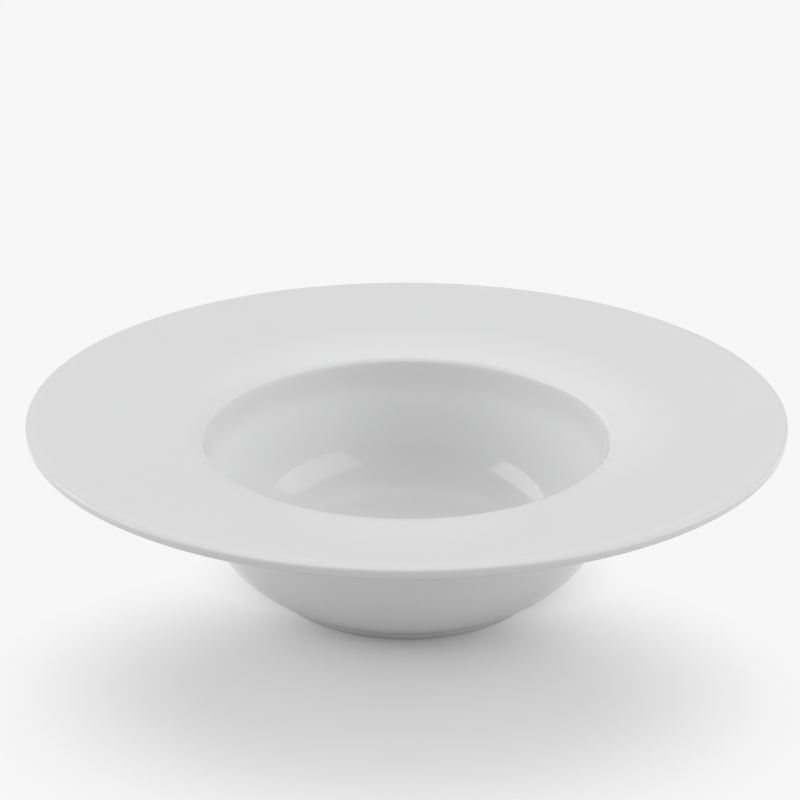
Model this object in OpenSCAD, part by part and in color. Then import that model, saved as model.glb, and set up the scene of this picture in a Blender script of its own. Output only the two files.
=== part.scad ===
// Wide-rim pasta bowl: one fired porcelain body, a clear-white glaze coat over
// everything that shows, and a second patch of glaze inside the foot ring.
// The foot ring's standing face is left bare, so the two coats never meet.
// Millimetres, +Z up. The origin is on the axis, on the plane the bowl stands on.

/* [Rim] */
// Outside diameter of the rim
rim_d = 300; // [288:1:316]
// Height of the rim's highest line above the table
rim_h = 79.2; // [74:0.2:86]
// How far the rim climbs from the lip of the well to its outer edge
rim_rise = 14.8; // [10:0.2:19]
// Thickness of the rim at its outer edge
edge_t = 3; // [2.4:0.1:4]
// Thickness of the rim where it joins the well
rim_t = 5.4; // [4.6:0.1:7]
// Width of the eased band along the rim's outer edge
ease_w = 3.2; // [2:0.1:5]
// Fall of the eased band below level, in degrees
ease_a = 14; // [6:1:20]
// Radius of the blend under the rim
under_r = 16; // [8:1:20]

/* [Well] */
// Diameter of the well at its lip
well_d = 164.5; // [157:0.5:171]
// Lean of the well's wall from upright, in degrees
lean = 10.5; // [7:0.5:14]
// Rounding of the lip
lip_r = 2.6; // [1.6:0.1:4]
// Height of the floor of the well above the table
floor_h = 6; // [5.6:0.1:8]
// Radius between the floor and the wall
fillet_r = 30; // [22:0.5:36]
// Thickness of the well's wall
wall_t = 6.8; // [5.6:0.1:8.2]

/* [Foot] */
// Diameter of the body where it meets the foot ring
foot_d = 116.5; // [110:0.5:122]
// Height of the foot ring
foot_h = 3.2; // [2.6:0.1:4]
// Width of the bare face the bowl stands on
stand_w = 4; // [3:0.1:6]
// Height of the recess inside the foot ring
recess_h = 2.8; // [2.4:0.1:3.4]
// Radius of the outer curve between wall and foot
heel_r = 47.5; // [41:0.5:56]

/* [Glaze] */
// Thickness of the glaze
glaze_t = 0.3; // [0.2:0.02:0.4]
// Bare height left at the bottom of the foot ring
wipe_h = 1; // [0.8:0.05:1.2]

/* [Hidden] */
well_r = well_d/2;
rim_r = rim_d/2;
// rounding of the edge's two corners, of the foot ring's corners and of the crease above it
edge_r = 0.9;
toe_r = 0.9;
crease_r = 1;
// taper of the foot ring's sides, in degrees
taper = 10;
// largest turn between two points of a round stretch, in degrees
turn_angle = 6;
// share of the eased band that its blend into the rim takes up
ease_share = 0.62;
// share of the ring's inner side above the wiped band that the recess's rounding takes up
recess_share = 0.85;
// the glaze line lies this far under the bare standing face
stand_z = -glaze_t;
// bond line between the fired body and its glaze, so that the two never share a face
bond = 0.02;
coat_in = glaze_t - bond;

function unit(a) = [cos(a), sin(a)];
// distance of the line through p whose outward normal points along a
function reach(a, p) = p*unit(a);
// crossing of two lines given by normal angle and distance
function cross_at(a1, d1, a2, d2) =
  [d1*sin(a2) - d2*sin(a1), d2*cos(a1) - d1*cos(a2)]/sin(a2 - a1);
// centre of a rounding between two lines; a hollow one has a negative radius
function centre(a1, d1, a2, d2, r) = cross_at(a1, d1 - r, a2, d2 - r);
// points of a rounding [centre, radius, first and last normal], moved k into the body
function bend(b, k) =
  let(n = ceil(abs(b[3] - b[2])/turn_angle))
  [for (i = [0:n]) b[0] + (b[1] - k)*unit(b[2] + (b[3] - b[2])*i/n)];
function chain(list, k) = [for (b = list) each bend(b, k)];
function turned(list) = [for (i = [len(list) - 1:-1:0]) list[i]];

// directions, in degrees, that the straight stretches face
rim_angle = atan(rim_rise/(rim_r - ease_w - well_r));
top_angle = 90 + rim_angle;
wall_angle = 180 - lean;
band_angle = 90 - ease_a;
outer_angle = -lean;
toe_angle = taper - 180;
ease_r = ease_share*ease_w/cos(ease_a)/tan((top_angle - band_angle)/2);
recess_r = recess_share*(recess_h - wipe_h - glaze_t)/(1 + sin(toe_angle));

// the rim would come to this height if the eased band met it at a sharp line
crown_z = rim_h + ease_r*(sin((top_angle + band_angle)/2)/cos((top_angle - band_angle)/2) - 1);

// distances of the straight stretches from the origin
lip_p = [well_r, crown_z - rim_rise];
top_d = reach(top_angle, lip_p);
wall_d = reach(wall_angle, lip_p);
ease_d = reach(band_angle, [rim_r - ease_w, crown_z]);
outer_d = wall_t - wall_d;
edge_z = cross_at(band_angle, ease_d, 0, rim_r)[1] - edge_t;
join_p = cross_at(top_angle, top_d - rim_t, outer_angle, outer_d);
under_slope = atan((edge_z - join_p[1])/(rim_r - join_p[0]));
under_angle = under_slope - 90;
under_d = reach(under_angle, [rim_r, edge_z]);

// the outer curve leaves the wall and runs down to the top of the foot ring
heel_p = [foot_d/2, foot_h];
heel_s = reach(outer_angle, heel_p) - (outer_d - heel_r);
heel_u = heel_p*[sin(lean), cos(lean)] + sqrt(heel_r*heel_r - heel_s*heel_s);
heel_c = (outer_d - heel_r)*unit(outer_angle) + heel_u*[sin(lean), cos(lean)];
heel_angle = atan2(heel_p[1] - heel_c[1], heel_p[0] - heel_c[0]);
crease_c = heel_p + crease_r*unit(heel_angle);
foot_angle = -taper;
foot_dist = reach(foot_angle, crease_c) - crease_r;
toe_c = centre(foot_angle, foot_dist, -90, -stand_z, toe_r);
toe_in_c = toe_c - [stand_w, 0];
toe_d = reach(toe_angle, toe_in_c) + toe_r;

// roundings in order, from the floor of the well over the rim to the foot ring
upper = [
  [centre(90, floor_h, wall_angle, wall_d, -fillet_r), -fillet_r, 90, wall_angle],
  [centre(wall_angle, wall_d, top_angle, top_d, lip_r), lip_r, wall_angle, top_angle],
  [centre(top_angle, top_d, band_angle, ease_d, ease_r), ease_r, top_angle, band_angle],
  [centre(band_angle, ease_d, 0, rim_r, edge_r), edge_r, band_angle, 0],
  [centre(0, rim_r, under_angle, under_d, edge_r), edge_r, 0, under_angle],
  [centre(under_angle, under_d, outer_angle, outer_d, -under_r), -under_r, under_angle, outer_angle],
  [heel_c, heel_r, outer_angle, heel_angle],
  [crease_c, -crease_r, heel_angle, foot_angle]
];
toe = [
  [toe_c, toe_r, foot_angle, -90],
  [toe_in_c, toe_r, -90, toe_angle]
];
recess = [
  [centre(toe_angle, toe_d, -90, -recess_h, -recess_r), -recess_r, toe_angle, -90]
];

// where the coats stop on the foot ring's sides, on the body and thinned off above it
function on_side(a, d, z, k) = [(d - k - z*sin(a))/cos(a), z];
coat_end = [
  on_side(foot_angle, foot_dist, wipe_h + glaze_t, 0),
  on_side(foot_angle, foot_dist, wipe_h, coat_in)
];
patch_end = [
  on_side(toe_angle, toe_d, wipe_h, coat_in),
  on_side(toe_angle, toe_d, wipe_h + glaze_t, 0)
];

module porcelain_body() {
  color([0.93, 0.92, 0.89])
    rotate_extrude($fn = 180)
      polygon(concat(
        [[0, floor_h - glaze_t]],
        chain(upper, glaze_t),
        chain(toe, glaze_t),
        chain(recess, glaze_t),
        [[0, recess_h + glaze_t]]
      ));
}

module main_glaze() {
  color([0.97, 0.97, 0.96])
    rotate_extrude($fn = 180)
      polygon(concat(
        [[0, floor_h]],
        chain(upper, 0),
        coat_end,
        turned(chain(upper, coat_in)),
        [[0, floor_h - coat_in]]
      ));
}

module base_glaze() {
  color([0.95, 0.96, 0.96])
    rotate_extrude($fn = 180)
      polygon(concat(
        patch_end,
        chain(recess, 0),
        [[0, recess_h]],
        [[0, recess_h + coat_in]],
        turned(chain(recess, coat_in))
      ));
}

porcelain_body();
main_glaze();
base_glaze();
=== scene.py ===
import math
import bpy
from mathutils import Matrix, Vector


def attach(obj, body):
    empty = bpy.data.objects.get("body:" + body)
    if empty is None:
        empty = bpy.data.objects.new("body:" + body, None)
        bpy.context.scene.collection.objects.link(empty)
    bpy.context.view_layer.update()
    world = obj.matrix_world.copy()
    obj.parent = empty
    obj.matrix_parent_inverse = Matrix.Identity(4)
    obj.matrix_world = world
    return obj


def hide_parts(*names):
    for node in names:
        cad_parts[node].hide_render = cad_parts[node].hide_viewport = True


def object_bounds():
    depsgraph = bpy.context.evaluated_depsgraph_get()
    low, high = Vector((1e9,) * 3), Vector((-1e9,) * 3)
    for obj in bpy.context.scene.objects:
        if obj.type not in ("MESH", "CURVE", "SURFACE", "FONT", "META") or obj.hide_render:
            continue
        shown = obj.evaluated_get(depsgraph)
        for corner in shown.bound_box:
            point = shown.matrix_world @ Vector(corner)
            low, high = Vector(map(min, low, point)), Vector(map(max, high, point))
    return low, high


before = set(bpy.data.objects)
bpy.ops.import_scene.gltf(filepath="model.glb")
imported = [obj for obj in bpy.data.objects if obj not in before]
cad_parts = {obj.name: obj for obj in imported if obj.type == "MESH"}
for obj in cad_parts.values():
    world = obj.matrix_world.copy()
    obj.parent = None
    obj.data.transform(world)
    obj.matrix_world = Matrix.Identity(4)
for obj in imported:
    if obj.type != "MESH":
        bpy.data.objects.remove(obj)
cadBox = [list(corner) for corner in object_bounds()]
scene = bpy.context.scene
print("frame loaded:", ", ".join(sorted(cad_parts)))

# the bowl's outline, in metres and degrees; its reach and height come from the frame
bowl = {
    "rimRadius": cadBox[1][0],
    "rimHeight": cadBox[1][2],
    "rimRise": 0.0148,      # lip of the well to the outer edge
    "edgeThick": 0.0030,
    "rimThick": 0.0054,     # where the rim joins the well
    "easeWidth": 0.0032,    # band turned down along the outer edge
    "easeFall": 14.0,
    "easeShare": 0.62,      # part of that band taken by its blend
    "underRadius": 0.016,
    "edgeRadius": 0.0009,
    "wellRadius": 0.08225,
    "wallLean": 10.5,
    "lipRadius": 0.0026,
    "floorHeight": 0.0060,
    "floorFillet": 0.030,
    "wallThick": 0.0068,
    "footRadius": 0.05825,    # where the body meets the foot ring
    "footHeight": 0.0032,
    "footTaper": 10.0,
    "standWidth": 0.0040,
    "recessHeight": 0.0028,
    "recessShare": 0.85,    # part of the ring's glazed inner side taken by its rounding
    "heelRadius": 0.0475,
    "creaseRadius": 0.0010,
    "toeRadius": 0.0009,
    "glaze": 0.0003,
    "bond": 0.00002,        # left between the clay and its glaze
    "wiped": 0.0010,        # bare height at the bottom of the foot ring
}


def stretch(tilt, point):  # a straight stretch: the angle its face looks along, and its distance
    angle = math.radians(tilt)
    return angle, point[0] * math.cos(angle) + point[1] * math.sin(angle)


def meeting(first, second, depth=0.0):  # corner of two stretches, moved into the clay by depth
    a, b = first[0], second[0]
    da, db = first[1] - depth, second[1] - depth
    turn = math.sin(b - a)
    return ((da * math.sin(b) - db * math.sin(a)) / turn,
            (db * math.cos(a) - da * math.cos(b)) / turn)


def onStretch(face, height, depth=0.0):  # the point of a stretch at a height
    return (face[1] - depth - height * math.sin(face[0])) / math.cos(face[0]), height


def bowlOutline(s):
    rimAngle = math.degrees(math.atan2(s["rimRise"], s["rimRadius"] - s["easeWidth"] - s["wellRadius"]))
    topTilt, easeTilt = 90 + rimAngle, 90 - s["easeFall"]
    halfTurn = math.radians(topTilt - easeTilt) / 2
    midTilt = math.radians(topTilt + easeTilt) / 2
    easeLength = s["easeWidth"] / math.cos(math.radians(s["easeFall"]))
    easeRadius = s["easeShare"] * easeLength / math.tan(halfTurn)
    crown = s["rimHeight"] + easeRadius * (math.sin(midTilt) / math.cos(halfTurn) - 1)
    lip = (s["wellRadius"], crown - s["rimRise"])
    lean = s["wallLean"]
    floor = stretch(90, (0, s["floorHeight"]))
    wall = stretch(180 - lean, lip)
    top = stretch(topTilt, lip)
    ease = stretch(easeTilt, (s["rimRadius"] - s["easeWidth"], crown))
    edge = stretch(0, (s["rimRadius"], 0))
    outer = (math.radians(-lean), s["wallThick"] - wall[1])
    edgeLow = (s["rimRadius"], meeting(ease, edge)[1] - s["edgeThick"])
    join = meeting((top[0], top[1] - s["rimThick"]), outer)
    underTilt = math.degrees(math.atan2(edgeLow[1] - join[1], edgeLow[0] - join[0])) - 90
    under = stretch(underTilt, edgeLow)
    heelPoint = Vector((s["footRadius"], s["footHeight"]))
    outwards = Vector((math.cos(outer[0]), math.sin(outer[0])))
    upwards = Vector((-outwards.y, outwards.x))
    heelSide = heelPoint.dot(outwards) - (outer[1] - s["heelRadius"])
    heelUp = heelPoint.dot(upwards) + math.sqrt(s["heelRadius"] ** 2 - heelSide ** 2)
    heelCentre = outwards * (outer[1] - s["heelRadius"]) + upwards * heelUp
    heelOut = (heelPoint - heelCentre).normalized()
    heel = (math.atan2(heelOut.y, heelOut.x), heelPoint.dot(heelOut))
    creaseCentre = heelPoint + heelOut * s["creaseRadius"]
    foot = stretch(-s["footTaper"], creaseCentre)
    foot = (foot[0], foot[1] - s["creaseRadius"])
    stand = stretch(-90, (0, -s["glaze"]))
    toeOut = meeting((foot[0], foot[1] - s["toeRadius"]), (stand[0], stand[1] - s["toeRadius"]))
    toe = stretch(s["footTaper"] - 180, (toeOut[0] - s["standWidth"], toeOut[1]))
    toe = (toe[0], toe[1] + s["toeRadius"])
    recess = stretch(-90, (0, s["recessHeight"]))
    recessSide = s["recessHeight"] - s["wiped"] - s["glaze"]
    recessRadius = s["recessShare"] * recessSide / (1 + math.sin(toe[0]))
    faces = [floor, wall, top, ease, edge, under, outer, heel, foot, stand, toe, recess]
    rounds = [-s["floorFillet"], s["lipRadius"], easeRadius, s["edgeRadius"], s["edgeRadius"],
              -s["underRadius"], s["heelRadius"], -s["creaseRadius"], s["toeRadius"], s["toeRadius"],
              -recessRadius]  # a hollow rounding is negative
    return {"faces": faces, "rounds": rounds, "foot": foot, "toe": toe, "lip": lip, "crown": crown,
            "standReach": toeOut[0]}


outline = bowlOutline(bowl)
print("outline worked out: lip at %.1f mm, rim edge at %.1f mm"
      % (outline["lip"][1] * 1e3, outline["crown"] * 1e3))

turning = {
    "around": 256,          # steps round the bowl
    "straightStep": 0.0030,  # longest step along a straight stretch, in metres
    "arcTurn": 3.0,         # degrees a step of a wide rounding turns
    "smallTurn": 5.0,       # and of a tight one
    "hiddenTurn": 16.0,     # and of a tight one on a side that lies on the clay
    "tightBelow": 0.0035,   # radius under which a rounding is tight
    "railRadius": 0.001,    # circle that carries the outline round
    "weldGap": 1e-6,
}


def corners(depth, first, last, tight="smallTurn"):  # corners moved into the clay: r, z, radius, steps
    found = []
    for i in range(first, last):
        before, after = outline["faces"][i], outline["faces"][i + 1]
        radius = abs(outline["rounds"][i] - depth)
        turnStep = turning[tight] if radius < turning["tightBelow"] else turning["arcTurn"]
        turn = math.degrees(abs((after[0] - before[0] + math.pi) % (2 * math.pi) - math.pi))
        r, z = meeting(before, after, depth)
        found.append((r, z, radius, max(2, math.ceil(turn / turnStep))))
    return found


def plain(point):  # a corner that stays sharp
    return point[0], point[1], 0.0, 1


def buildTurningTree():
    tree = bpy.data.node_groups.new("turnedOnTheWheel", "GeometryNodeTree")
    face = tree.interface
    face.new_socket("Geometry", in_out="INPUT", socket_type="NodeSocketGeometry")
    for label, kind in (("Steps round", "NodeSocketInt"), ("Straight step", "NodeSocketFloat"),
                        ("Rail radius", "NodeSocketFloat"), ("Finish", "NodeSocketMaterial")):
        face.new_socket(label, in_out="INPUT", socket_type=kind)
    face.new_socket("Geometry", in_out="OUTPUT", socket_type="NodeSocketGeometry")
    add, link = tree.nodes.new, tree.links.new
    given, result = add("NodeGroupInput"), add("NodeGroupOutput")

    def named(label, kind):
        node = add("GeometryNodeInputNamedAttribute")
        node.data_type = kind
        node.inputs["Name"].default_value = label
        return node.outputs["Attribute"]

    curve = add("GeometryNodeMeshToCurve")
    link(given.outputs["Geometry"], curve.inputs["Mesh"])
    fillet = add("GeometryNodeFilletCurve")  # the outline's sharp corners become arcs
    fillet.mode = "POLY"
    link(curve.outputs["Curve"], fillet.inputs["Curve"])
    link(named("cornerSteps", "INT"), fillet.inputs["Count"])
    link(named("cornerRadius", "FLOAT"), fillet.inputs["Radius"])

    here, count = add("GeometryNodeInputPosition"), add("GeometryNodeInputIndex")
    following, ahead = add("ShaderNodeMath"), add("GeometryNodeFieldAtIndex")
    following.inputs[1].default_value = 1
    link(count.outputs["Index"], following.inputs[0])
    ahead.data_type, ahead.domain = "FLOAT_VECTOR", "POINT"
    link(here.outputs["Position"], ahead.inputs["Value"])
    link(following.outputs["Value"], ahead.inputs["Index"])
    gap, pieces = add("ShaderNodeVectorMath"), add("ShaderNodeMath")
    gap.operation, pieces.operation = "DISTANCE", "DIVIDE"
    link(here.outputs["Position"], gap.inputs[0])
    link(ahead.outputs["Value"], gap.inputs[1])
    link(gap.outputs["Value"], pieces.inputs[0])
    link(given.outputs["Straight step"], pieces.inputs[1])
    cut = add("GeometryNodeSubdivideCurve")  # straight stretches get even steps
    link(fillet.outputs["Curve"], cut.inputs["Curve"])
    link(pieces.outputs["Value"], cut.inputs["Cuts"])

    rail, level = add("GeometryNodeCurvePrimitiveCircle"), add("GeometryNodeSetCurveNormal")
    link(given.outputs["Steps round"], rail.inputs["Resolution"])
    link(given.outputs["Rail radius"], rail.inputs["Radius"])
    level.mode = "Z_UP"
    link(rail.outputs["Curve"], level.inputs["Curve"])
    sweep = add("GeometryNodeCurveToMesh")
    link(level.outputs["Curve"], sweep.inputs["Curve"])
    link(cut.outputs["Curve"], sweep.inputs["Profile Curve"])
    weld = add("GeometryNodeMergeByDistance")  # closes both poles
    weld.inputs["Distance"].default_value = turning["weldGap"]
    link(sweep.outputs["Mesh"], weld.inputs["Geometry"])
    smooth, real, coat = (add("GeometryNodeSetShadeSmooth"), add("GeometryNodeRealizeInstances"),
                          add("GeometryNodeSetMaterial"))
    link(weld.outputs["Geometry"], smooth.inputs["Geometry"])
    link(smooth.outputs["Geometry"], real.inputs["Geometry"])
    link(real.outputs["Geometry"], coat.inputs["Geometry"])
    link(given.outputs["Finish"], coat.inputs["Material"])
    link(coat.outputs["Geometry"], result.inputs["Geometry"])
    return tree


turningTree = buildTurningTree()


def turnPiece(name, points, finish, node):
    rail = turning["railRadius"]
    mesh = bpy.data.meshes.new(name + "Outline")
    mesh.from_pydata([(r - rail, -z, 0) for r, z, radius, steps in points],
                     [(i, i + 1) for i in range(len(points) - 1)], [])
    for label, kind, column in (("cornerRadius", "FLOAT", 2), ("cornerSteps", "INT", 3)):
        values = [point[column] for point in points]
        mesh.attributes.new(label, kind, "POINT").data.foreach_set("value", values)
    piece = bpy.data.objects.new(name, mesh)
    scene.collection.objects.link(piece)
    wheel = piece.modifiers.new("wheel", "NODES")
    wheel.node_group = turningTree
    values = {"Steps round": turning["around"], "Straight step": turning["straightStep"],
              "Rail radius": rail, "Finish": finish}
    for item in turningTree.interface.items_tree:
        if item.in_out == "INPUT" and item.name in values:
            wheel[item.identifier] = values[item.name]
    bpy.context.view_layer.update()
    shaped = bpy.data.meshes.new_from_object(piece.evaluated_get(bpy.context.evaluated_depsgraph_get()))
    piece.modifiers.remove(wheel)
    piece.data = shaped
    shaped.name = name
    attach(piece, "root")
    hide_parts(node)
    print("turned", name, "with", len(shaped.polygons), "faces")


# how the shared skin patterns are drawn; a speck's sizes are shares of its cell
patterns = {
    "cloudDetail": 2.0,
    "grainDetail": 3.0,
    "speckEdge": 0.16,
    "speckCore": 0.05,
    "waverScale": 40.0,
}


def worked(tree, kind, *values):  # a math node fed with sockets and numbers
    node = tree.nodes.new("ShaderNodeMath")
    node.operation = kind
    for socket, value in zip(node.inputs, values):
        if isinstance(value, (int, float)):
            socket.default_value = value
        else:
            tree.links.new(value, socket)
    return node.outputs["Value"]


def faded(tree, value, start, stop):  # 0 at start, 1 at stop, soft between
    node = tree.nodes.new("ShaderNodeMapRange")
    node.interpolation_type = "SMOOTHSTEP"
    node.inputs["From Min"].default_value = start
    node.inputs["From Max"].default_value = stop
    tree.links.new(value, node.inputs["Value"])
    return node.outputs["Result"]


def tinted(tree, share, first, second):  # first colour, with a share of the second
    node = tree.nodes.new("ShaderNodeMix")
    node.data_type = "RGBA"
    tree.links.new(share, node.inputs["Factor"])
    for label, colour in (("A", first), ("B", second)):
        if isinstance(colour, tuple):
            node.inputs[label].default_value = (*colour, 1)
        else:
            tree.links.new(colour, node.inputs[label])
    return node.outputs[2]


def newGroup(name, takes, gives):
    tree = bpy.data.node_groups.new(name, "ShaderNodeTree")
    for labels, way in ((takes, "INPUT"), (gives, "OUTPUT")):
        for label in labels:
            kind = "NodeSocketVector" if label == "Vector" else "NodeSocketFloat"
            tree.interface.new_socket(label, in_out=way, socket_type=kind)
    return tree, tree.nodes.new("NodeGroupInput").outputs, tree.nodes.new("NodeGroupOutput").inputs


def useGroup(tree, group, place, values):
    node = tree.nodes.new("ShaderNodeGroup")
    node.node_tree = group
    tree.links.new(place, node.inputs["Vector"])
    for label, value in values.items():
        node.inputs[label].default_value = value
    return node.outputs


def hypotenuse(tree, a, b):
    return worked(tree, "SQRT", worked(tree, "MULTIPLY_ADD", a, a, worked(tree, "MULTIPLY", b, b)))


def fromAxis(tree, place):  # distance from the bowl's axis, and height
    axes = tree.nodes.new("ShaderNodeSeparateXYZ")
    tree.links.new(place, axes.inputs["Vector"])
    x, y, z = axes.outputs
    return hypotenuse(tree, x, y), z


def buildRingMask():  # strongest on a ring round the axis
    takes = ("Vector", "Ring radius", "Ring height", "Reach")
    tree, given, result = newGroup("ringMask", takes, ("Mask",))
    radius, height = fromAxis(tree, given["Vector"])
    out = worked(tree, "SUBTRACT", radius, given["Ring radius"])
    up = worked(tree, "SUBTRACT", height, given["Ring height"])
    away = worked(tree, "DIVIDE", hypotenuse(tree, out, up), given["Reach"])
    tree.links.new(faded(tree, away, 1.0, 0.0), result["Mask"])
    return tree


def buildKilnSkin():  # soft clouds, fine grain and the odd speck
    takes = ("Vector", "Cloud size", "Grain size", "Speck spacing", "Speck share")
    tree, given, result = newGroup("kilnSkin", takes, ("Clouds", "Grain", "Specks"))
    for size, label, detail in (("Cloud size", "Clouds", patterns["cloudDetail"]),
                                ("Grain size", "Grain", patterns["grainDetail"])):
        noise = tree.nodes.new("ShaderNodeTexNoise")
        noise.inputs["Detail"].default_value = detail
        tree.links.new(given["Vector"], noise.inputs["Vector"])
        tree.links.new(worked(tree, "DIVIDE", 1.0, given[size]), noise.inputs["Scale"])
        tree.links.new(noise.outputs["Fac"], result[label])
    cells, split = tree.nodes.new("ShaderNodeTexVoronoi"), tree.nodes.new("ShaderNodeSeparateColor")
    tree.links.new(given["Vector"], cells.inputs["Vector"])
    tree.links.new(worked(tree, "DIVIDE", 1.0, given["Speck spacing"]), cells.inputs["Scale"])
    tree.links.new(cells.outputs["Color"], split.inputs["Color"])
    picked = worked(tree, "LESS_THAN", split.outputs["Red"], given["Speck share"])
    dot = faded(tree, cells.outputs["Distance"], patterns["speckEdge"], patterns["speckCore"])
    tree.links.new(worked(tree, "MULTIPLY", picked, dot), result["Specks"])
    return tree


def buildTurningLines():  # faint rings from the shaping tool
    tree, given, result = newGroup("turningLines", ("Vector", "Spacing", "Waver"), ("Height",))
    radius, height = fromAxis(tree, given["Vector"])
    noise = tree.nodes.new("ShaderNodeTexNoise")
    noise.inputs["Scale"].default_value = patterns["waverScale"]
    tree.links.new(given["Vector"], noise.inputs["Vector"])
    along = worked(tree, "ADD", radius, height)
    along = worked(tree, "MULTIPLY_ADD", noise.outputs["Fac"], given["Waver"], along)
    turns = worked(tree, "DIVIDE", along, given["Spacing"])
    wave = worked(tree, "SINE", worked(tree, "MULTIPLY", turns, 2 * math.pi))
    tree.links.new(wave, result["Height"])
    return tree


ringMask = buildRingMask()
kilnSkin = buildKilnSkin()
turningLines = buildTurningLines()


def newMaterial(name):
    material = bpy.data.materials.new(name)
    material.use_nodes = True
    return material, material.node_tree.nodes, material.node_tree.links.new


def ridged(tree, height, shader):  # height in millimetres
    bump = tree.nodes.new("ShaderNodeBump")
    bump.inputs["Distance"].default_value = 0.001
    tree.links.new(height, bump.inputs["Height"])
    tree.links.new(bump.outputs["Normal"], shader.inputs["Normal"])


def paintedLightSideMask(tree, place, paintedLightSide):  # ramps up across the bowl, on its upper side only; places the painted light over the lip
    along, axes = tree.nodes.new("ShaderNodeVectorMath"), tree.nodes.new("ShaderNodeSeparateXYZ")
    along.operation = "DOT_PRODUCT"
    along.inputs[1].default_value = paintedLightSide["towards"]
    tree.links.new(place, along.inputs[0])
    tree.links.new(place, axes.inputs["Vector"])
    high = worked(tree, "GREATER_THAN", axes.outputs["Z"], paintedLightSide["above"])
    towardsLitSide = faded(tree, along.outputs["Value"], paintedLightSide["start"], paintedLightSide["stop"])
    return worked(tree, "MULTIPLY", towardsLitSide, high)


def makeGlaze(name, look):
    material, nodes, link = newMaterial(name)
    tree, shader = material.node_tree, nodes["Principled BSDF"]
    place = nodes.new("ShaderNodeTexCoord").outputs["Object"]
    skin = useGroup(tree, kilnSkin, place, look["skin"])
    peel = useGroup(tree, kilnSkin, place, look["peel"])
    lines = useGroup(tree, turningLines, place, look["lines"])
    colour = tinted(tree, skin["Clouds"], look["colour"], look["cloudColour"])
    for ring in look["rings"]:  # painted shade and painted light on the white glaze; pooled glaze inside the foot ring
        mask = useGroup(tree, ringMask, place, ring["where"])["Mask"]
        share = worked(tree, "MULTIPLY", mask, ring["share"])
        # the painted light over the lip is kept to one side
        if "paintedLightSide" in ring:
            share = worked(tree, "MULTIPLY", share, paintedLightSideMask(tree, place, ring["paintedLightSide"]))
        colour = tinted(tree, share, colour, ring["colour"])
    specks = worked(tree, "MULTIPLY", skin["Specks"], look["speckShare"])
    colour = tinted(tree, specks, colour, look["speckColour"])
    link(colour, shader.inputs["Base Color"])
    shader.inputs["IOR"].default_value = look["ior"]
    rough = worked(tree, "MULTIPLY_ADD", skin["Grain"], look["roughSpread"], look["roughness"])
    rubbed = useGroup(tree, ringMask, place, look["rubbed"])["Mask"]
    rough = worked(tree, "MULTIPLY_ADD", rubbed, look["rubbedRough"], rough)
    link(rough, shader.inputs["Roughness"])
    height = worked(tree, "MULTIPLY", peel["Clouds"], look["waveHeight"])
    height = worked(tree, "MULTIPLY_ADD", peel["Grain"], look["peelHeight"], height)
    height = worked(tree, "MULTIPLY_ADD", peel["Specks"], -look["pinDepth"], height)
    height = worked(tree, "MULTIPLY_ADD", lines["Height"], look["lineHeight"], height)
    ridged(tree, height, shader)
    return material


def makeBisque(name, look):
    material, nodes, link = newMaterial(name)
    tree, shader = material.node_tree, nodes["Principled BSDF"]
    place = nodes.new("ShaderNodeTexCoord").outputs["Object"]
    skin = useGroup(tree, kilnSkin, place, look["skin"])
    lines = useGroup(tree, turningLines, place, look["lines"])
    stand = useGroup(tree, ringMask, place, look["stand"])
    colour = tinted(tree, skin["Clouds"], look["colour"], look["cloudColour"])
    specks = worked(tree, "MULTIPLY", skin["Specks"], look["speckShare"])
    colour = tinted(tree, specks, colour, look["speckColour"])
    rubbed = worked(tree, "MULTIPLY", stand["Mask"], faded(tree, skin["Clouds"], *look["scuffClouds"]))
    scuffs = worked(tree, "MULTIPLY", rubbed, look["scuffShare"])
    colour = tinted(tree, scuffs, colour, look["scuffColour"])
    link(colour, shader.inputs["Base Color"])
    rough = worked(tree, "MULTIPLY_ADD", rubbed, -look["scuffPolish"], look["roughness"])
    link(rough, shader.inputs["Roughness"])
    height = worked(tree, "MULTIPLY", skin["Grain"], look["grainHeight"])
    height = worked(tree, "MULTIPLY_ADD", lines["Height"], look["lineHeight"], height)
    ridged(tree, height, shader)
    return material


# bowl's own glaze; lengths in metres, heights of its skin in millimetres
glazeLook = {
    "colour": (0.844, 0.846, 0.846),
    "cloudColour": (0.856, 0.858, 0.858),
    "roughness": 0.035,
    "roughSpread": 0.03,
    "rubbed": {"Ring radius": 0.0824, "Ring height": 0.0636, "Reach": 0.0045},  # lip, dulled by cutlery
    "rubbedRough": 0.35,
    "ior": 1.5,
    "skin": {"Cloud size": 0.030, "Grain size": 0.0012, "Speck spacing": 0.011, "Speck share": 0.03},
    "speckColour": (0.55, 0.53, 0.50),
    "speckShare": 0.08,
    "peel": {"Cloud size": 0.045, "Grain size": 0.0035, "Speck spacing": 0.009, "Speck share": 0.10},
    "waveHeight": 0.06,
    "peelHeight": 0.003,
    "pinDepth": 0.004,
    "lines": {"Spacing": 0.0075, "Waver": 0.006},
    "lineHeight": 0.0012,
    "rings": (
        {"where": {"Ring radius": 0.1500, "Ring height": 0.0766, "Reach": 0.0035}, "share": 0.9,
         "colour": (0.733, 0.734, 0.732)},  # painted shade on the rim's outer edge
        {"where": {"Ring radius": 0.0815, "Ring height": 0.0580, "Reach": 0.0120}, "share": 0.9,
         "colour": (0.752, 0.753, 0.752)},  # painted shade under the lip, on the well's wall
        {"where": {"Ring radius": 0.0850, "Ring height": 0.0660, "Reach": 0.0280}, "share": 0.9,
         "colour": (0.928, 0.930, 0.930),   # painted light over the lip, brightest towards the back right
         "paintedLightSide": {"towards": (0.5, 0.87, 0.0), "start": -0.060, "stop": 0.075, "above": 0.0630}},
        {"where": {"Ring radius": 0.0586, "Ring height": 0.0020, "Reach": 0.0036}, "share": 0.54,
         "colour": (0.600, 0.603, 0.603)},  # painted shade on the foot ring's glaze, near the floor
    ),
}
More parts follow.
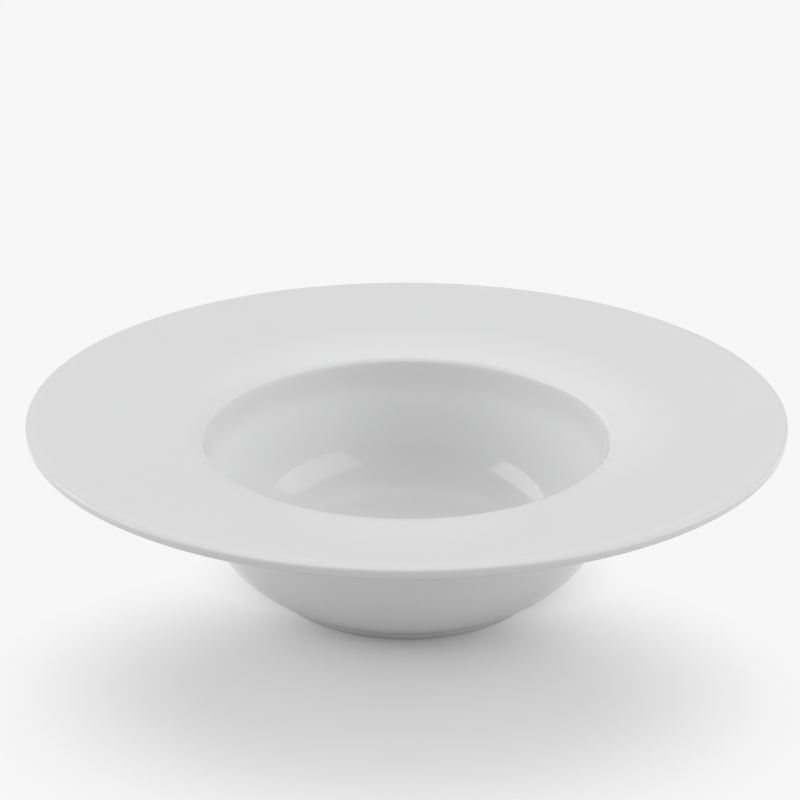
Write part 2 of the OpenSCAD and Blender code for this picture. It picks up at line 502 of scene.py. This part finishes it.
# glaze inside the foot ring, which is poured on and less even
patchLook = dict(
    glazeLook,
    colour=(0.80, 0.81, 0.81),
    cloudColour=(0.85, 0.852, 0.848),
    roughness=0.06,
    peelHeight=0.006,
    skin={"Cloud size": 0.018, "Grain size": 0.0012, "Speck spacing": 0.008, "Speck share": 0.12},
    speckShare=0.5,
    rubbed={"Ring radius": 0.0515, "Ring height": 0.0013, "Reach": 0.0010},
    rings=({"where": {"Ring radius": 0.0515, "Ring height": 0.0020, "Reach": 0.0025}, "share": 0.7,
            "colour": (0.77, 0.795, 0.805)},),
)
# bare clay of the foot ring; its colour is darkened partly as painted shade where it meets the floor
bisqueLook = {
    "colour": (0.60, 0.590, 0.570),
    "cloudColour": (0.68, 0.670, 0.650),
    "roughness": 0.78,
    "skin": {"Cloud size": 0.006, "Grain size": 0.0004, "Speck spacing": 0.0022, "Speck share": 0.10},
    "speckColour": (0.42, 0.36, 0.28),
    "speckShare": 0.6,
    "stand": {"Ring radius": 0.0545, "Ring height": 0.0, "Reach": 0.0030},
    "scuffColour": (0.47, 0.46, 0.45),   # metal and table marks
    "scuffClouds": (0.48, 0.64),         # cloud values where they start and are full
    "scuffShare": 0.5,
    "scuffPolish": 0.25,
    "grainHeight": 0.025,
    "lines": {"Spacing": 0.0008, "Waver": 0.0010},
    "lineHeight": 0.004,
}
mainFinish = makeGlaze("whiteGlaze", glazeLook)
patchFinish = makeGlaze("footGlaze", patchLook)
bareFinish = makeBisque("bareBisque", bisqueLook)
print("finishes mixed")

skinDepth = bowl["glaze"]
hiddenDepth = skinDepth - bowl["bond"]  # of the coats' side that lies on the clay
wipedTop = bowl["wiped"] + skinDepth
cornerCount = len(outline["rounds"])
crease = 8  # corners from the floor of the well to the crease above the foot ring
recess = cornerCount - 1  # corner of the recess inside the foot ring
coatPoints = (
    [plain((0, bowl["floorHeight"]))]
    + corners(0, 0, crease)
    + [plain(onStretch(outline["foot"], wipedTop))]
    + [plain(onStretch(outline["foot"], bowl["wiped"], hiddenDepth))]
    + corners(hiddenDepth, 0, crease, "hiddenTurn")[::-1]
    + [plain((0, bowl["floorHeight"] - hiddenDepth))]
)
bodyPoints = (
    [plain((0, bowl["floorHeight"] - skinDepth))]
    + corners(skinDepth, 0, cornerCount)
    + [plain((0, bowl["recessHeight"] + skinDepth))]
)
patchPoints = (
    [plain((0, bowl["recessHeight"] + hiddenDepth))]
    + corners(hiddenDepth, recess, cornerCount)
    + [plain(onStretch(outline["toe"], bowl["wiped"], hiddenDepth))]
    + [plain(onStretch(outline["toe"], wipedTop))]
    + corners(0, recess, cornerCount)
    + [plain((0, bowl["recessHeight"]))]
)
turnPiece("mainGlaze", coatPoints, mainFinish, "main_glaze")
turnPiece("porcelainBody", bodyPoints, bareFinish, "porcelain_body")
turnPiece("baseGlaze", patchPoints, patchFinish, "base_glaze")

studio = {
    "floorSize": 40.0,
    "floorSeen": 0.985,          # floor's colour to the camera
    "floorBounce": 0.68,         # and as it lights the bowl
    "openWhite": 0.93,           # white that the floor fades to, clear of the shadow
    "shadows": (                 # middle, half width and depth
        ((-0.005, -0.093), (0.165, 0.112)),
        ((0.0, -0.010), (0.097, 0.083)),
    ),
    "shadowFade": 0.36,          # share of that reach where the fade starts
    "ambient": 0.53,             # light from all round
    "frontShade": 0.27,          # less of it from the camera's side
    "sideLight": 0.62,           # white walls to the left and right
    "sidePower": 4.0,            # how closely that light keeps to the sides
    "backLight": 0.08,           # and behind
}


def grey(level):
    return level, level, level


def makeFloor():
    half = studio["floorSize"] / 2
    mesh = bpy.data.meshes.new("floor")
    mesh.from_pydata([(-half, -half, 0), (half, -half, 0), (half, half, 0), (-half, half, 0)],
                     [], [(0, 1, 2, 3)])
    floor = bpy.data.objects.new("floor", mesh)
    scene.collection.objects.link(floor)
    material, nodes, link = newMaterial("paleFloor")
    nodes.remove(nodes["Principled BSDF"])
    tree, add = material.node_tree, nodes.new
    path, side = add("ShaderNodeLightPath").outputs, add("ShaderNodeNewGeometry").outputs
    place = add("ShaderNodeTexCoord").outputs["Object"]
    matt, white = add("ShaderNodeBsdfDiffuse"), add("ShaderNodeEmission")
    tone = tinted(tree, path["Is Camera Ray"], grey(studio["floorBounce"]), grey(studio["floorSeen"]))
    link(tone, matt.inputs["Color"])
    white.inputs["Color"].default_value = (*grey(studio["openWhite"]), 1)

    shadows = []
    for middle, reach in studio["shadows"]:
        centred, away = add("ShaderNodeMapping"), add("ShaderNodeVectorMath")
        centred.inputs["Scale"].default_value = (1 / reach[0], 1 / reach[1], 0)
        centred.inputs["Location"].default_value = (-middle[0] / reach[0], -middle[1] / reach[1], 0)
        away.operation = "LENGTH"
        link(place, centred.inputs["Vector"])
        link(centred.outputs["Vector"], away.inputs[0])
        shadows.append(away.outputs["Value"])
    nearest = shadows[0]
    for other in shadows[1:]:
        nearest = worked(tree, "MINIMUM", nearest, other)
    fade = faded(tree, nearest, studio["shadowFade"], 1.0)
    looked = worked(tree, "MAXIMUM", path["Is Camera Ray"], path["Is Glossy Ray"])
    looked = worked(tree, "MAXIMUM", looked, path["Is Transmission Ray"])
    clear = add("ShaderNodeMixShader")  # white away from the shadow
    link(worked(tree, "MULTIPLY", looked, fade), clear.inputs["Fac"])
    link(matt.outputs["BSDF"], clear.inputs[1])
    link(white.outputs["Emission"], clear.inputs[2])

    through, sheet = add("ShaderNodeBsdfTransparent"), add("ShaderNodeMixShader")
    below = worked(tree, "MULTIPLY", path["Is Camera Ray"], side["Backfacing"])  # from under the floor
    radius = fromAxis(tree, place)[0]
    underFoot = worked(tree, "LESS_THAN", radius, outline["standReach"])  # lets light in to the recess
    link(worked(tree, "MAXIMUM", below, underFoot), sheet.inputs["Fac"])
    link(clear.outputs["Shader"], sheet.inputs[1])
    link(through.outputs["BSDF"], sheet.inputs[2])
    link(sheet.outputs["Shader"], nodes["Material Output"].inputs["Surface"])
    mesh.materials.append(material)


def makeWorld():
    world = bpy.data.worlds.new("studioWorld")
    world.use_nodes = True
    tree, nodes, link = world.node_tree, world.node_tree.nodes, world.node_tree.links.new
    place, axes = nodes.new("ShaderNodeTexCoord"), nodes.new("ShaderNodeSeparateXYZ")
    link(place.outputs["Generated"], axes.inputs["Vector"])
    x, y = axes.outputs["X"], axes.outputs["Y"]
    towardsBack = worked(tree, "MAXIMUM", y, 0.0)
    towardsFront = worked(tree, "MINIMUM", y, 0.0)
    towardsFront = worked(tree, "MULTIPLY", towardsFront, towardsFront)
    towardsSide = worked(tree, "POWER", worked(tree, "ABSOLUTE", x), studio["sidePower"])
    level = worked(tree, "MULTIPLY_ADD", towardsBack, studio["backLight"], studio["ambient"])
    level = worked(tree, "MULTIPLY_ADD", towardsSide, studio["sideLight"], level)
    level = worked(tree, "MULTIPLY_ADD", towardsFront, -studio["frontShade"], level)
    back = nodes["Background"]
    back.inputs["Color"].default_value = (1, 1, 1, 1)
    link(level, back.inputs["Strength"])
    scene.world = world


# where each softbox stands: degrees round from the camera's side towards +X, degrees up, metres away
softboxes = {
    "rightBox": {"round": 72, "up": 33, "away": 1.6, "size": (1.70, 0.95), "level": 1.16},
    "leftBox": {"round": 269, "up": 27, "away": 1.6, "size": (1.29, 0.61), "level": 1.90},
    "rightLow": {"round": 72, "up": 8, "away": 1.6, "size": (1.70, 0.48), "level": 0.81},
    "leftLow": {"round": 270, "up": 8, "away": 1.6, "size": (1.40, 0.48), "level": 1.43},
    "overhead": {"round": 180, "up": 72, "away": 1.5, "size": (1.2, 1.0), "level": 0.50},
}


def makeSoftbox(name, box):
    lamp = bpy.data.lights.new(name, "AREA")
    lamp.shape = "RECTANGLE"
    width, depth = box["size"]
    lamp.size, lamp.size_y = width, depth
    lamp.energy = math.pi * width * depth * box["level"]  # level is how bright its face looks
    holder = bpy.data.objects.new(name, lamp)
    turn, rise = math.radians(box["round"]), math.radians(box["up"])
    out = Vector((math.cos(rise) * math.sin(turn), -math.cos(rise) * math.cos(turn), math.sin(rise)))
    holder.location = Vector((0, 0, bowl["rimHeight"])) + out * box["away"]
    holder.rotation_euler = (-out).to_track_quat("-Z", "Y").to_euler()
    scene.collection.objects.link(holder)


makeFloor()
makeWorld()
for label, box in softboxes.items():
    makeSoftbox(label, box)
print("studio ready")

viewpoint = {
    "place": (0.0, -0.6258, 0.3279),
    "aim": (-0.0026, 0.0008, 0.0770),
    "lens": 75.47,
    "sensor": 36.0,
    "roll": 0.063,          # degrees
    "clip": (0.01, 100.0),
}


def makeCamera():
    data = bpy.data.cameras.new("photoCamera")
    data.sensor_width = viewpoint["sensor"]
    data.lens = viewpoint["lens"]
    data.clip_start, data.clip_end = viewpoint["clip"]
    camera = bpy.data.objects.new("photoCamera", data)
    camera.location = viewpoint["place"]
    look = (Vector(viewpoint["aim"]) - camera.location).to_track_quat("-Z", "Y").to_matrix().to_4x4()
    camera.rotation_euler = (look @ Matrix.Rotation(math.radians(viewpoint["roll"]), 4, "Z")).to_euler()
    scene.collection.objects.link(camera)
    scene.camera = camera


makeCamera()
scene.view_settings.view_transform = "Standard"
print("camera set")
